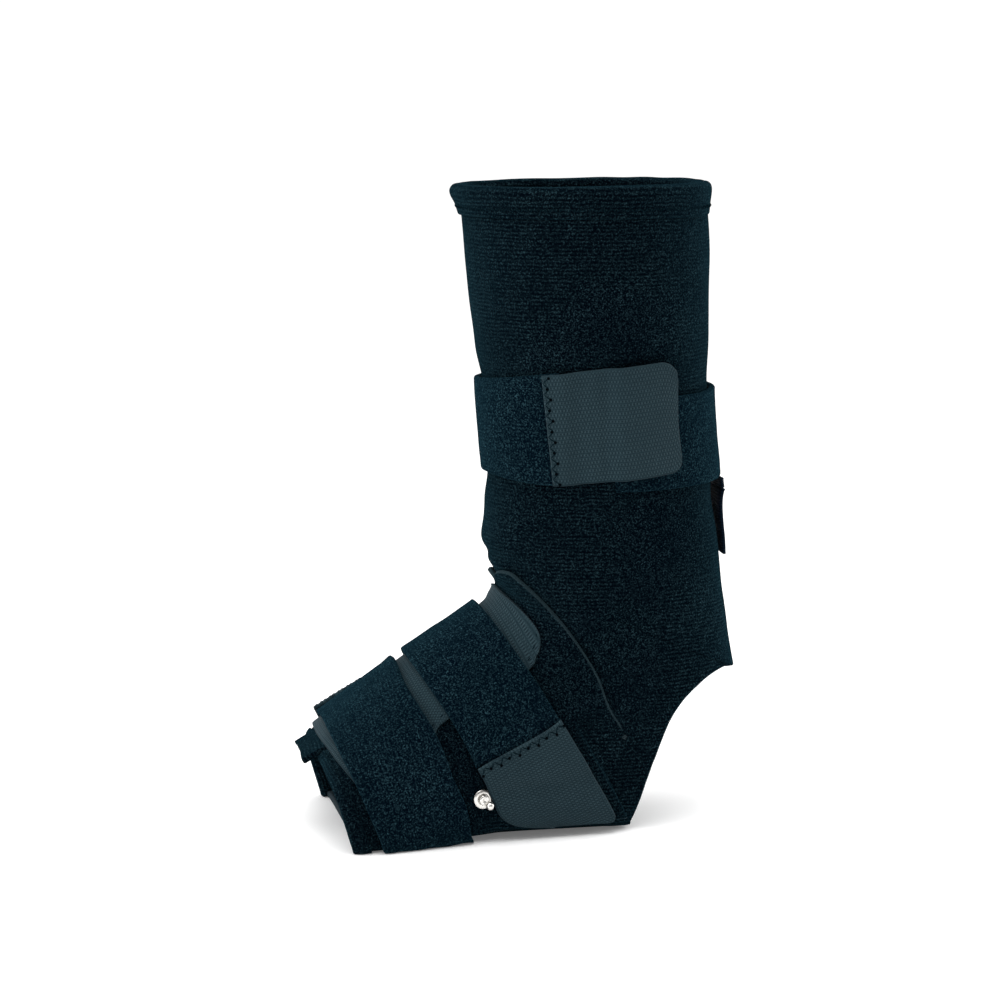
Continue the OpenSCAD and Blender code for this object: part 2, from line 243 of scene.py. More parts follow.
def cloth(name, centre, normal, thick, materials, seam_from=None, rim_paint=0, inner_paint=0,
          level_rows=False, butts=(False, False)):
    """A sheet of cloth of real thickness with rounded edges, from a grid of mid-thickness points.

    From row seam_from on, the last column is the first one again, so the cloth is a closed tube.
    rim_paint and inner_paint give the materials of the edge and of the inside. With level_rows
    the knit's rows lie level, and otherwise they follow the grid's rows. butts says whether the
    first and the last column are cut square, to meet the next length of the same strap.
    """
    n, m = centre.shape[:2]
    seam = n if seam_from is None else seam_from
    half = np.broadcast_to(np.asarray(thick, float) / 2, (n, m))[..., None]
    away = np.zeros_like(centre)
    away[0] += unit(centre[0] - centre[1])
    away[-1] += unit(centre[-1] - centre[-2])
    open_rows = slice(0, min(seam, n))
    for k, column, beside in ((0, 0, 1), (1, -1, -2)):
        if not butts[k]:
            away[open_rows, column] += unit(centre[open_rows, column] - centre[open_rows, beside])
    away -= normal * np.sum(away * normal, -1, keepdims=True)
    edge = np.linalg.norm(away, axis=-1, keepdims=True) > 1e-6
    away = np.where(edge, unit(away), 0)
    radius = np.minimum(half * 0.9, MOST_RIM)
    body = centre - away * radius
    points = [(body + normal * half).reshape(-1, 3), (body - normal * half).reshape(-1, 3)]
    ids = np.arange(n * m).reshape(n, m)
    if seam < n:
        ids[seam:, -1] = ids[seam:, 0]
    faces, corners, tints = [], [], []
    uv = cloth_uv(centre)
    if level_rows:
        uv = np.stack([uv[..., 0], centre[..., 2]], -1)
    for side in (0, 1):
        shift = side * n * m
        for i in range(n - 1):
            for j in range(m - 1):
                square = [(i, j), (i + 1, j), (i + 1, j + 1), (i, j + 1)]
                face = [int(ids[q]) + shift for q in square]
                if len(set(face)) < 3:
                    continue
                keep = [k for k in range(4) if face[k] not in face[:k]]
                faces.append([face[k] for k in keep])
                corners.extend(uv[square[k]] for k in keep)
                tints.append(inner_paint if side else 0)
    if seam == 0:
        loops = [[(0, j) for j in range(m - 1)], [(n - 1, j) for j in range(m - 1)]]
    else:
        low = min(seam, n - 1)
        loop = [(0, j) for j in range(m)] + [(i, m - 1) for i in range(1, low + 1)]
        if seam >= n:
            loop += [(n - 1, j) for j in range(m - 2, -1, -1)]
        loop += [(i, 0) for i in range(low - 1, 0, -1)]
        loops = [loop]
        if seam < n:
            loops.append([(n - 1, j) for j in range(m - 1)])
    count = 2 * n * m
    for loop in loops:
        where = tuple(np.array(loop).T)
        rings_of = [ids[where]]
        for angle in RIM_ANGLES:
            swing = math.radians(angle)
            p = (body[where] + away[where] * radius[where] * math.cos(swing)
                 + normal[where] * half[where] * math.sin(swing))
            points.append(p)
            rings_of.append(np.arange(count, count + len(loop)))
            count += len(loop)
        rings_of.append(ids[where] + n * m)
        for first, second in zip(rings_of[:-1], rings_of[1:]):
            for k in range(len(loop)):
                after = (k + 1) % len(loop)
                face = [int(first[k]), int(first[after]), int(second[after]), int(second[k])]
                if len(set(face)) < 4:
                    continue
                faces.append(face)
                corners.extend(uv[loop[q]] for q in (k, after, after, k))
                tints.append(rim_paint)
    return mesh_from(name, np.concatenate(points), faces, materials, tints, corners)


STITCH_SIDES = 6
STITCH_STEPS = 5


def stitches(name, starts, ends, normals, material, radius=0.28, rise=0.35):
    """Separate thread stitches: each rises from its first needle hole and dips into the next."""
    points, faces = [], []
    for a, b, n in zip(starts, ends, normals):
        along = unit(b - a)
        side = np.cross(along, n)
        base = len(points)
        for k in range(STITCH_STEPS):
            t = k / (STITCH_STEPS - 1)
            arch = math.sin(math.pi * t)
            middle = a + (b - a) * t + n * (rise * arch - radius * (1 - arch) * 1.4)
            points += circle(middle, radius * (0.55 + 0.45 * arch), side, n, STITCH_SIDES)
        faces += stack_faces(base, STITCH_SIDES, STITCH_STEPS, (0, STITCH_STEPS - 1))
    return mesh_from(name, points, faces, [material])


def seam_marks(u_line, v_line, d_line, pitch, swing=0.0):
    """Needle holes at an even pitch along a line of the form; swing sets them off to each side."""
    line = lifted(u_line, v_line, d_line)
    run = np.concatenate([[0], np.cumsum(np.linalg.norm(np.diff(line, axis=0), axis=1))])
    count = max(2, int(run[-1] / pitch))
    stops = np.linspace(0, run[-1], count + 1)
    u = np.interp(stops, run, u_line)
    v = np.interp(stops, run, v_line)
    d = np.interp(stops, run, np.broadcast_to(d_line, np.shape(u_line)))
    p, n = lifted(u, v, d), outward(u, v)
    if swing:
        ahead = unit(np.gradient(p, axis=0))
        sign = np.where(np.arange(len(p)) % 2, 1.0, -1.0)[:, None]
        p = p + np.cross(n, ahead) * sign * swing
    return p, n


# ---------------------------------------------------------------- materials
class Paint:
    """A small helper that builds a material's node tree."""

    def __init__(self, name, roughness, specular=0.5, sheen=0.0, tint=(1, 1, 1), metallic=0.0):
        self.material = bpy.data.materials.new(name)
        self.material.use_nodes = True
        self.tree = self.material.node_tree
        self.shader = self.tree.nodes["Principled BSDF"]
        self.set(self.shader, {"Roughness": roughness, "Metallic": metallic,
                               "Specular IOR Level": specular, "Sheen Weight": sheen,
                               "Sheen Roughness": 0.45, "Sheen Tint": (*tint, 1)})
        self.place = self.add("ShaderNodeTexCoord")

    def set(self, node, values):
        for key, value in values.items():
            if isinstance(value, bpy.types.NodeSocket):
                self.tree.links.new(value, node.inputs[key])
            else:
                node.inputs[key].default_value = value

    def add(self, kind, values=None, **settings):
        node = self.tree.nodes.new(kind)
        for key, value in settings.items():
            setattr(node, key, value)
        self.set(node, values or {})
        return node

    def noise(self, scale, detail=2.0, roughness=0.5):
        node = self.add("ShaderNodeTexNoise", {
            "Vector": self.place.outputs["Object"],
            "Scale": scale, "Detail": detail, "Roughness": roughness})
        return node.outputs["Fac"]

    def cells(self, scale):
        node = self.add("ShaderNodeTexVoronoi", {
            "Vector": self.place.outputs["Object"], "Scale": scale})
        return node.outputs["Distance"]

    def math(self, operation, a, b=0.0):
        return self.add("ShaderNodeMath", {0: a, 1: b}, operation=operation).outputs[0]

    def total(self, *terms):
        """The sum of the terms. A term (value, weight) is the value times its weight."""
        terms = [self.math("MULTIPLY", *t) if isinstance(t, tuple) else t for t in terms]
        result = terms[0]
        for term in terms[1:]:
            result = self.math("ADD", result, term)
        return result

    def product(self, *terms):
        result = terms[0]
        for term in terms[1:]:
            result = self.math("MULTIPLY", result, term)
        return result

    def ribs(self, value, pitch):
        """Round ribs, from 0 in the grooves to 1 on the crests."""
        wave = self.math("SINE", self.math("MULTIPLY", value, math.pi / pitch))
        return self.math("ABSOLUTE", wave)

    def span(self, value, low, high, to_low=0.0, to_high=1.0):
        node = self.add("ShaderNodeMapRange", {"Value": value, "From Min": low, "From Max": high,
                                               "To Min": to_low, "To Max": to_high})
        return node.outputs["Result"]

    def mix(self, share, a, b):
        node = self.add("ShaderNodeMix", data_type="RGBA")
        self.tree.links.new(share, node.inputs[0])
        for index, value in ((6, a), (7, b)):
            if isinstance(value, bpy.types.NodeSocket):
                self.tree.links.new(value, node.inputs[index])
            else:
                node.inputs[index].default_value = (*value, 1)
        return node.outputs[2]

    def along(self):
        """Length round the cloth and length up the cloth, in metres."""
        split = self.add("ShaderNodeSeparateXYZ", {"Vector": self.place.outputs["UV"]})
        return split.outputs["X"], split.outputs["Y"]

    def done(self, colour, height, depth, strength):
        bump = self.add("ShaderNodeBump", {"Height": height, "Distance": depth * MM,
                                           "Strength": strength})
        self.set(self.shader, {"Base Color": colour, "Normal": bump.outputs["Normal"]})
        return self.material


def loop_cloth(name, deep, pile, ribs, grain=1.0):
    """Brushed loop fabric: fine curled pile, with the knit's rows showing through in places."""
    p = Paint(name, 1.0, 0.0, sheen=0.045, tint=(0.2, 0.7, 0.95))
    curls = p.cells(1500 * grain)
    fuzz = p.noise(1500 * grain, 2.0, 0.6)
    clumps = p.noise(520, 2.0, 0.6)
    patches = p.noise(38, 3.0, 0.55)
    _, up = p.along()
    uneven = p.total(up, (p.noise(150, 1.0), 1.2 * MM))
    rows = p.math("SINE", p.math("MULTIPLY", uneven, 2 * math.pi / (1.55 * MM)))
    shown = p.span(p.noise(22, 1.0), 0.38, 0.56)
    rows = p.product(rows, p.math("MULTIPLY", shown, ribs))
    height = p.total(fuzz, (curls, -0.6), (rows, 0.3), (clumps, 0.2))
    share = p.product(p.total(p.span(fuzz, 0.44, 0.70), (rows, 0.22)),
                      p.span(curls, 0.85, 0.1), p.span(clumps, 0.3, 0.7, 0.6, 1.2),
                      p.span(patches, 0.3, 0.7, 0.7, 1.2))
    return p.done(p.mix(share, deep, pile), height, 0.5, 0.9)


def hook_tape(name, base, light, hollow_shade):
    """The woven back of hook tape: close ribs along the tape with rows of small sunk dots, painted
    darker as shade in them.
    """
    p = Paint(name, 0.9, 0.12, sheen=0.02, tint=(0.8, 0.9, 1.0))
    across, up = p.along()
    row = p.math("DIVIDE", up, 1.6 * MM)
    step = p.math("MULTIPLY", p.math("FLOOR", row), 0.5)
    spot = p.math("ADD", p.math("DIVIDE", across, 1.3 * MM), step)
    in_row, in_spot = (p.math("SUBTRACT", p.math("FRACT", place), 0.5) for place in (row, spot))
    far = p.math("SQRT", p.total((in_row, in_row), (in_spot, in_spot)))
    hole = p.span(far, 0.38, 0.16)
    rib = p.ribs(row, 1)
    weft = p.ribs(across, 0.55 * MM)
    yarn = p.noise(2300, 2.0, 0.6)
    fade = p.noise(45, 3.0, 0.6)
    height = p.total((rib, 0.5), (hole, -0.7), (weft, 0.22), (yarn, 0.5))
    weave = p.total((yarn, 0.55), (rib, 0.3), (weft, 0.08))
    tone = p.mix(p.span(weave, 0.35, 0.85), base, light)
    # The sunk dots are painted a darker colour: painted shade in them.
    tone = p.mix(p.math("MULTIPLY", hole, 0.85), tone, hollow_shade)
    tone = p.mix(p.span(fade, 0.35, 0.75, 0.0, 0.3), tone, base)
    return p.done(tone, height, 0.22, 0.8)


def foam_edge(name, base, light):
    """The cut edge of the laminate, where the foam between the two cloths shows."""
    p = Paint(name, 0.95, 0.05, sheen=0.02, tint=(0.2, 0.7, 1.0))
    pores = p.noise(1900, 3.0, 0.7)
    return p.done(p.mix(p.span(pores, 0.35, 0.7), base, light), pores, 0.25, 0.7)


def webbing(name, base, light):
    """Flat ribbed webbing."""
    p = Paint(name, 0.8, 0.02, sheen=0.02, tint=(0.3, 0.6, 1.0))
    across, up = p.along()
    yarn = p.noise(2500, 2.0)
    height = p.total((p.ribs(up, 1.1 * MM), 0.8), (p.ribs(across, 0.9 * MM), 0.25), (yarn, 0.25))
    return p.done(p.mix(p.span(height, 0.3, 1.1), base, light), height, 0.3, 0.9)


def thread(name, base, light):
    """Twisted sewing thread. It also gives the needle holes their painted shade and the bar tack
    its painted highlight.
    """
    p = Paint(name, 0.9, 0.0)
    twist = p.noise(2600, 1.0)
    return p.done(p.mix(p.span(twist, 0.3, 0.7), base, light), twist, 0.1, 0.6)


def knit_liner(name, base, light):
    """Smooth fine knit of the inside, with small even stitches."""
    p = Paint(name, 0.9, 0.1, sheen=0.03, tint=(0.4, 0.8, 1.0))
    across, up = p.along()
    wale = p.math("SINE", p.math("MULTIPLY", across, 2 * math.pi / (0.9 * MM)))
    course = p.math("SINE", p.math("MULTIPLY", up, 2 * math.pi / (0.7 * MM)))
    stitch = p.math("MULTIPLY", wale, course)
    wear = p.noise(30, 3.0, 0.6)
    colour = p.mix(p.span(stitch, -1, 1), base, light)
    colour = p.mix(p.span(wear, 0.4, 0.8, 0.0, 0.4), colour, base)
    return p.done(colour, stitch, 0.15, 0.7)


def metal(name, colour, roughness):
    """Plated metal with fine scuffs and slightly dull patches."""
    p = Paint(name, roughness, metallic=1.0)
    scuffs = p.noise(900, 4.0, 0.7)
    haze = p.noise(160, 2.0)
    p.set(p.shader, {"Roughness": p.span(haze, 0.3, 0.7, roughness - 0.06, roughness + 0.12)})
    tone = p.mix(p.span(scuffs, 0.35, 0.75, 0.0, 0.35), colour, tuple(c * 0.55 for c in colour))
    return p.done(tone, scuffs, 0.03, 0.5)


NAVY = loop_cloth("navy_loop_cloth", (0.0001, 0.0008, 0.0024), (0.022, 0.050, 0.062),
                  ribs=0.95)
NAVY_STRAP = loop_cloth("strap_loop_cloth", (0.0002, 0.0020, 0.0050), (0.028, 0.070, 0.088),
                        ribs=0.4, grain=0.95)
# The hook tape's third colour is painted shade for its sunk dots.
SLATE = hook_tape("slate_hook_tape", (0.006, 0.017, 0.023), (0.040, 0.074, 0.088),
                  hollow_shade=(0.002, 0.008, 0.013))
FOAM = foam_edge("foam_cut_edge", (0.005, 0.012, 0.016), (0.020, 0.036, 0.042))
LINER = knit_liner("knit_liner", (0.007, 0.013, 0.018), (0.018, 0.028, 0.034))
WEBBING = webbing("navy_webbing", (0.0006, 0.0022, 0.006), (0.005, 0.012, 0.022))
THREAD = thread("navy_thread", (0.001, 0.005, 0.008), (0.004, 0.012, 0.017))
# The bar tack's lighter thread colour is a painted highlight of the flap's pucker.
TACK_HIGHLIGHT = thread("tack_thread_highlight", (0.010, 0.020, 0.026), (0.035, 0.050, 0.056))
# Near-black colour for the needle holes: painted shade in them.
HOLE_SHADE = thread("needle_hole_shade", (0.0004, 0.001, 0.0015), (0.001, 0.002, 0.003))
NICKEL = metal("nickel", (0.80, 0.78, 0.74), 0.22)
ALLOY = metal("stay_alloy", (0.60, 0.61, 0.63), 0.38)


# ---------------------------------------------------------------- how pieces move
ANKLE_WAY = np.array([0.467, 0, 0.884])
OVER_ANKLE = ("foot", "shank", tuple((ANKLE - 4 * ANKLE_WAY) * MM),
              tuple((ANKLE + 26 * ANKLE_WAY) * MM))


def settle(obj, move):
    """Rides on the body named by move; with a (body, body, start, end) bend it only bakes the
    object's transform in place.
    """
    if isinstance(move, str):
        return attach(obj, move)
    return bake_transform(obj)


def fit(obj, move, slot, *nodes):
    """Hides the CAD nodes that a piece replaces and settles the piece by its move; slot is not
    used.
    """
    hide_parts(*nodes)
    settle(obj, move)


def sew(name, holes, normals, move, material, radius=0.26, rise=0.3, every=1):
    """A run of thread stitches through a row of needle holes."""
    a, b = holes[:-1:every], holes[1::every]
    between = (normals[:-1:every][:len(b)] + normals[1::every]) / 2
    return settle(stitches(name, a[:len(b)], b, between, material, radius, rise), move)


# ---------------------------------------------------------------- the sleeve and its sole
# The open heel in side view, x and z, from the sole up to the back of the shank.
HEEL_EDGE = [[57, -5], [57, 0], [60.5, 12], [64.8, 26], [69.3, 37.6], [73.8, 47.9], [79.2, 55],
             [85.5, 60], [92, 63.2], [99, 64.6], [105, 63], [113, 60]]
HEEL_GAP = np.vstack([smooth_line(HEEL_EDGE, 160), [[150, 60], [150, -20], [57, -20]]])
HEM_SEAM_U = 14.12
FULL_TURN = np.linspace(-180, 180, 721)


def in_heel_gap(p):
    """True where a point's side view lies in the open heel."""
    x, z = p[..., 0], p[..., 2]
    inside = np.zeros(x.shape, bool)
    for (x0, z0), (x1, z1) in zip(HEEL_GAP, np.roll(HEEL_GAP, -1, axis=0)):
        if z0 != z1:
            crosses = (z0 > z) != (z1 > z)
            inside ^= crosses & (x < (x1 - x0) * (z - z0) / (z1 - z0) + x0)
    return inside


def sole_turn(u):
    """Where the sleeve meets the sole, low on each side."""
    return 132 + 24 * ease(u, 0, 5)


def edge_turn(u):
    """The turn at which the sleeve ends: at the sole's seam, then along the open heel."""
    turns = np.linspace(60, 180, 481)
    grid_u = np.repeat(np.asarray(u, float)[:, None], len(turns), 1)
    gap = in_heel_gap(skin(grid_u, np.broadcast_to(turns, grid_u.shape)))
    first = np.where(gap.any(1), turns[np.argmax(gap, 1)], 180.0)
    return np.where(np.asarray(u) < 6, np.minimum(first, sole_turn(u)), first)


def even_rows(u0, u1, v, spacing, end_turn=None):
    """Ring numbers from u0 to u1, with rows no further apart than spacing on any turn in v."""
    fine = np.linspace(u0, u1, 1200)
    widest = np.zeros(len(fine) - 1)
    for turn in v:
        turns = np.full(len(fine), float(turn))
        if end_turn is not None:
            turns = np.minimum(turns, end_turn(fine))
        step = np.linalg.norm(np.diff(skin(fine, turns), axis=0), axis=1)
        widest = np.maximum(widest, np.minimum(step, 1.0))
    run = np.concatenate([[0], np.cumsum(widest)])
    return np.interp(np.linspace(0, run[-1], int(run[-1] / spacing) + 2), run, fine)


def squeeze(v):
    """How far the calf strap presses the sleeve in at each turn."""
    return 0.45 + 1.05 * (1 + np.cos(np.radians(v))) / 2


def sleeve_shape(p, u, v):
    """How far the soft sleeve stands off its ideal form: slow waves and folds at the ankle."""
    slow = 0.4 * ripple(p, 70, 11) + 0.2 * ripple(p, 26, 12)
    front = np.exp(-(np.minimum(np.abs(v), 360 - np.abs(v)) / 55) ** 2)
    crease = np.exp(-((u - 8.3) / 0.5) ** 2) * front
    heel_fold = np.exp(-((p[..., 2] - 84) / 7) ** 2) * ease(np.abs(v), 110, 160)
    toe_corner = 2.2 * ease(u, 0.9, 0) * np.exp(-((np.abs(v) - 132) / 16) ** 2)
    back = ((1 - np.cos(np.radians(v))) / 2) ** 2
    full = (np.exp(-((u - 9.0) / 0.4) ** 2) * (1 - back)
            - 2.0 * np.exp(-((u - 9.95) / 0.35) ** 2) * back)
    return (slow - 1.2 * crease + 0.6 * heel_fold * ripple(p, 30, 13) + toe_corner + full
            - squeeze(v) * ease(u, 9.9, 10.4) * ease(u, 11.9, 11.4))


def make_sleeve():
    close = next(u for u in np.linspace(7, 9, 2001) if not in_heel_gap(skin(u, 180.0)[None])[0])
    lower = even_rows(0, close, (0, 45, 90, 180), 2.1, edge_turn)
    upper = even_rows(close, LAST, (0, 90, 180), 2.3)[1:]
    u_rows = np.concatenate([lower, upper])
    seam = len(lower) - 1
    reach = np.concatenate([edge_turn(lower[:-1]), np.full(len(upper) + 1, 180.0)])
    smoothed = np.convolve(np.pad(reach, 1, mode="edge"), [0.25, 0.5, 0.25], "valid")
    reach[1:seam] = smoothed[1:seam]
    share = np.linspace(-1, 1, 137)
    v = reach[:, None] * share
    u = np.repeat(u_rows[:, None], len(share), 1)
    p = skin(u, v)
    n = outward(u, v)
    d = sleeve_shape(p, u, v) - SHELL_T / 2
    d[:, -1] = np.where(np.arange(len(u_rows)) >= seam, d[:, 0], d[:, -1])
    centre = p + n * d[..., None]
    centre[..., 2] = np.maximum(centre[..., 2], 0.3 + SHELL_T / 2)
    centre[seam:, -1] = centre[seam:, 0]
    sleeve = cloth("sleeve_cloth", centre, n, SHELL_T, [NAVY, LINER, FOAM], seam_from=seam,
                   rim_paint=2, inner_paint=1, level_rows=True)
    fit(sleeve, OVER_ANKLE, "laminate", "foot_sleeve", "shank_sleeve")


def make_sole():
    t = np.linspace(0, 1, 60)
    s = np.linspace(0, 1, 46)
    u_end = 4.62 + 0.1 * np.abs(2 * s - 1) ** 3
    u = t[:, None] * u_end
    low = sole_turn(u)
    v = low + (360 - 2 * low) * s
    p = skin(u, v)
    n = outward(u, v)
    centre = p - n * 1.5
    centre[..., 2] = np.maximum(centre[..., 2], 1.55)
    flat = ease(centre[..., 2], 4.5, 1.6)[..., None]
    n = unit(n * (1 - flat) + np.array([0, 0, -1.0]) * flat)
    sole = cloth("sole_cloth", centre, n, 3.0, [NAVY_STRAP, LINER], rim_paint=1, inner_paint=1)
    fit(sole, "foot", "binding", "sole")
    t, s = np.linspace(0, 1, 50), np.linspace(0, 1, 34)
    u = np.broadcast_to((0.2 + 4.2 * t)[:, None], (50, 34))
    low = sole_turn(u) + 7
    v = low + (360 - 2 * low) * s
    p = skin(u, v)
    centre = p + np.array([0, 0, SHELL_T + GAP + 0.8])
    centre[..., 1] *= 0.96
    centre[..., 2] = np.maximum(centre[..., 2], 4.2) + 0.15 * ripple(p, 40, 15)
    n = np.broadcast_to([0, 0, -1.0], p.shape)
    insole = cloth("insole_pad", centre, n, 1.4, [LINER])
    fit(insole, "foot", "liner", "insole")


def make_hem():
    """The top edge is folded over and sewn down with a zigzag."""
    path = np.array([[14.0, -SHELL_T - 1.0, 0], [14.5, -SHELL_T - 1.1, 0], [15, -SHELL_T - 1.0, 0],
                     [15, -SHELL_T - 0.5, 0.9], [15, -1.7, 1.55], [15, 0.1, 1.5], [15, 1.1, 0.7],
                     [15, 1.45, -0.2], [14.75, 1.45, 0], [14.4, 1.1, 0], [14.05, 0.55, 0],
                     [13.87, 0.1, 0]])
    path = smooth_line(path, 44)
    v = np.linspace(-180, 180, 181)
    u = np.repeat(np.minimum(path[:, 0], LAST)[:, None], len(v), 1)
    vv = np.broadcast_to(v, u.shape)
    place = skin(u, vv)
    wave = 0.5 * ripple(place * [1, 1, 0.2], 55, 21) + 0.25 * ripple(place * [1, 1, 0.2], 20, 22)
    wave[:, -1] = wave[:, 0]
    d = path[:, 1][:, None] + wave * ease(u, 13.6, 15)
    centre = place + outward(u, vv) * d[..., None]
    drop = (0.9 + 1.4 * (1 + np.cos(np.radians(vv))) / 2) * ease(u, 14.1, 15)
    centre[..., 2] += path[:, 2][:, None] + 0.5 * wave * ease(u, 14.3, 15) - drop
    centre[:, -1] = centre[:, 0]
    along = unit(np.gradient(centre, axis=0))
    round_ = np.gradient(centre, axis=1)
    round_[:, 0] = round_[:, -1] = centre[:, 1] - centre[:, -2]
    n = unit(np.cross(along, unit(round_)))
    if np.sum(n[-3, 45] * outward(14.0, float(v[45]))) < 0:
        n = -n
    hem = cloth("top_hem_cloth", centre, n, 1.7, [NAVY], seam_from=0, level_rows=True)
    fit(hem, "shank", "laminate", "top_hem")
    holes, n = seam_marks(np.full(len(FULL_TURN), HEM_SEAM_U), FULL_TURN, 1.5, 1.9, 0.95)
    sew("hem_stitch", holes, n, "shank", THREAD, 0.24)


# ---------------------------------------------------------------- flaps and the hook panel
# Each flap's upper edge, as turn and ring number, from the instep down to the arch.
FLAP_END = 128
TACK_U, TACK_V = 5.5, 93
FLAP_ARCH = [[63.5, 6.3], [81.5, 5.72], [94.5, 5.52], [108, 5.1], [FLAP_END, 4.5]]
INNER_FLAP = [[1, 5.7], [3, 6.3], [7, 6.9], [12, 7.4], [19, 7.78], [26, 7.97], [32, 7.97],
              [39, 7.6], [47.5, 7.05]] + FLAP_ARCH
OUTER_FLAP = [[-7, 6.3], [-5, 6.6], [0, 6.9], [8, 7.05], [22, 7.12], [33, 7.1],
              [47.5, 6.85]] + FLAP_ARCH


def make_flap(name, side, edge, full):
    """An instep flap. It wraps up from the sole, and at the heel it melts into the sleeve."""
    v_abs = edge[0][0] + (FLAP_END - edge[0][0]) * np.linspace(0, 1, 96) ** 1.25
    u_end = through(edge, 300)(v_abs)
    t = np.linspace(0, 1, 80)
    u = 0.16 + t[:, None] * (u_end - 0.16)
    v = np.broadcast_to(v_abs, u.shape)
    p, n = skin(u, side * v), outward(u, side * v)
    into = ease(v, 83, 98) * ease(u, 4.3, 5.0)
    curl = ease(u, 6.2, 7.0) * ease(v, 44, 16) * full
    d = GAP + FLAP_T / 2 + curl + 0.3 * ripple(p, 34, 31) - 3.0 * into
    pucker = np.exp(-(((u - TACK_U) / 0.22) ** 2 + ((v - TACK_V) / 5) ** 2))
    centre = p + n * (d - 1.0 * pucker)[..., None]
    centre[..., 2] = np.maximum(centre[..., 2], 1.4)
    flap = cloth(name + "_cloth", centre, n, FLAP_T, [NAVY, LINER, FOAM], rim_paint=2,
                 inner_paint=1, level_rows=True)
    fit(flap, OVER_ANKLE, "laminate", name)


def make_tack(name, u, v, turn):
    """A bar tack: three thick stitches side by side, in a thread lighter than the seams that is a
    painted highlight of the pucker.
    """
    across = np.linspace(-0.6, 0.6, 3)
    p, n = lifted(u, v, 0.75), outward(u, v)
    along = unit(skin(u + 0.05, v) - skin(u - 0.05, v))
    side = np.cross(n, along)
    way = along * math.cos(math.radians(turn)) + side * math.sin(math.radians(turn))
    cross = np.cross(n, way)
    middle = p + way * across[:, None]
    obj = stitches(name, middle - cross * 0.9, middle + cross * 0.9, [n] * 3, TACK_HIGHLIGHT, 0.24, 0.25)
    settle(obj, OVER_ANKLE)


PANEL_LINE = through([[0.6, 72], [1.0, 69], [2.14, 63], [3.93, 56], [5.6, 51.5]], 60)


def panel_edge(u):
    """The turn of the hook panel's lower edge, with its rear corner rounded."""
    back = np.clip((u - 4.95) / 0.6, 0, 1)
    return PANEL_LINE(u) - 12 * (1 - np.sqrt(1 - back ** 2))


def make_hook_panel():
    t = 1 - (1 - np.linspace(0, 1, 84)) ** 1.25
    share = np.linspace(-1, 1, 100)
    half = panel_edge(0.75 + 4.8 * t)[:, None]
    v = half * share
    front = np.interp(np.abs(v), [0, 13, 41, 54, 75], [0.74, 0.76, 0.84, 0.90, 1.0])
    back = 5.9 - 0.35 * (np.abs(v) / 45) ** 1.5
    u = front + (back - front) * t[:, None]
    p, n = skin(u, v), outward(u, v)
    d = FLAP_D + GAP + HOOK_T / 2 + 0.22 * ripple(p, 30, 41) + 0.4 * ease(t, 0.9, 1)[:, None]
    centre = p + n * d[..., None]
    panel = cloth("hook_panel_cloth", centre, n, HOOK_T, [SLATE])
    fit(panel, OVER_ANKLE, "hook_tape", "hook_panel")
    rows = np.linspace(1.0, 5.4, 300)
    for name, sign in (("medial", 1), ("lateral", -1)):
        edge = sign * (panel_edge(rows) - 3.5)
        holes, n = seam_marks(rows, edge, HOOK_D + 0.05, 2.6)
        sew("hook_panel_stitch_" + name, holes, n, OVER_ANKLE, THREAD, 0.2, 0.2, every=2)


def make_toe_end():
    """A binding folded over the toe edge, and the inner cloth's rolled tip above it."""
    over = FLAP_D + 0.3
    path = smooth_line([[0.66, over, 0], [0.4, over + 0.15, 0], [0.14, over + 0.1, 0],
                        [0, over - 0.7, 0.9], [0, over / 2, 1.5], [0, -1.5, 1.5],
                        [0, -SHELL_T - 0.1, 0.8], [0.1, -SHELL_T - 0.6, 0],
                        [0.45, -SHELL_T - 0.6, 0]], 36)
    v = np.linspace(-135, 135, 170)
    u = np.repeat(path[:, 0][:, None], len(v), 1)
    vv = np.broadcast_to(v, u.shape)
    toeward = unit(skin(0.0, v) - skin(0.12, v))
    place = skin(u, vv)
    corner = 2.2 * ease(u, 0.9, 0) * np.exp(-((np.abs(vv) - 132) / 16) ** 2)
    d = path[:, 1][:, None] + 0.25 * ripple(place, 28, 51) + corner
    d -= np.where(d > 0, ease(np.abs(vv), 120, 134) * 0.7 * d, 0)
    centre = place + outward(u, vv) * d[..., None] + toeward * path[:, 2][:, None, None]
    centre[..., 2] = np.maximum(centre[..., 2], 0.6)
    n = unit(np.cross(np.gradient(centre, axis=0), np.gradient(centre, axis=1)))
    if np.sum(n[2, 85] * outward(0.5, 0.0)) < 0:
        n = -n
    binding = cloth("toe_binding_cloth", centre, n, 0.8, [NAVY])
    fit(binding, "foot", "binding", "toe_binding")
    side = np.linspace(-17, 13, 40)
    path = smooth_line([[-62.8, 40.2], [-65, 38.6], [-68.5, 36.5], [-72.4, 34.3],
                        [-75.2, 32.7]], 26)
    y = np.broadcast_to(side, (26, 40))
    t = np.linspace(0, 1, 26)[:, None]
    crown = -((y + 1) / 26) ** 2 * 2.4
    level = np.stack([y, 0 * y, 0 * y], -1)
    centre = np.stack([path[:, 0][:, None] + 0.7 * ripple(level, 26, 52) * t,
                       y * (1 - 0.08 * t),
                       path[:, 1][:, None] + crown + 0.35 * t * np.sin(y / 8)], -1)
    lip = cloth("toe_lip_cloth", centre, sheet_normals(centre, 2), 2.6, [NAVY])
    fit(lip, "foot", "laminate", "toe_lip")


# ---------------------------------------------------------------- straps
STRAP_COLUMNS = 19
STRAP_PITCH = 1.9


